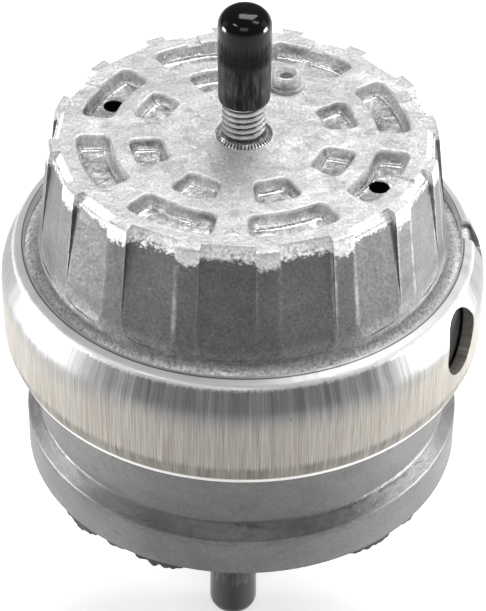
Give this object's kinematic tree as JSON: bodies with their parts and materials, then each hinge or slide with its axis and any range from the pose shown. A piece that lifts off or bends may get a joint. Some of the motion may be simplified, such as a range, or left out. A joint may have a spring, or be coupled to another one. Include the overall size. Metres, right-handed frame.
{
  "type": "hydraulic engine mount",
  "caption": "Round hydraulic engine mount: ribbed die-cast cover and steel cup crimped in a band, stud on each end, rubber spring inside.",
  "frame": {"origin": "on the upper stud's axis, at the cover's flat top face", "axes": "+Z along the upper stud and away from the mount, -Y towards the side the band's window and notch lie right of"},
  "size_m": [0.1142, 0.1142, 0.1862],
  "materials": {
    "cast_aluminium": "bead-blasted die casting",
    "core_aluminium": "turned",
    "plate_aluminium": "stamped",
    "plated_steel": "bright zinc",
    "band_steel": "drawn, scratched upright",
    "cup_steel": "dull phosphate",
    "cap_plastic": "glossy black",
    "channel_plastic": "glass-filled black",
    "rubber": "moulded"
  },
  "bodies": {
    "housing": {"upper_cover": "cast_aluminium", "upper_stud": "plated_steel", "upper_stud_cap": "cap_plastic", "crimp_ring": "band_steel", "diaphragm": "rubber", "diaphragm_ring": "plated_steel", "upper_grid_plate": "plate_aluminium", "channel_body": "channel_plastic", "decoupler_membrane": "rubber", "lower_grid_plate": "plate_aluminium", "plate_rivets": "plated_steel", "flange_seal": "rubber", "lower_cup": "cup_steel", "main_spring": "rubber"},
    "core": {"inner_core": "core_aluminium", "bump_stop": "rubber", "lower_stud": "plated_steel", "lower_stud_cap": "cap_plastic", "lower_locating_pin": "plated_steel"}
  },
  "joints": [
    {"name": "core_travel", "type": "slide", "parent": "housing", "child": "core", "axis": [0, 0, 1], "range_m": [-0.005, 0.009], "stiffness_N_per_m": 120000, "deforming": ["main_spring"]}
  ]
}
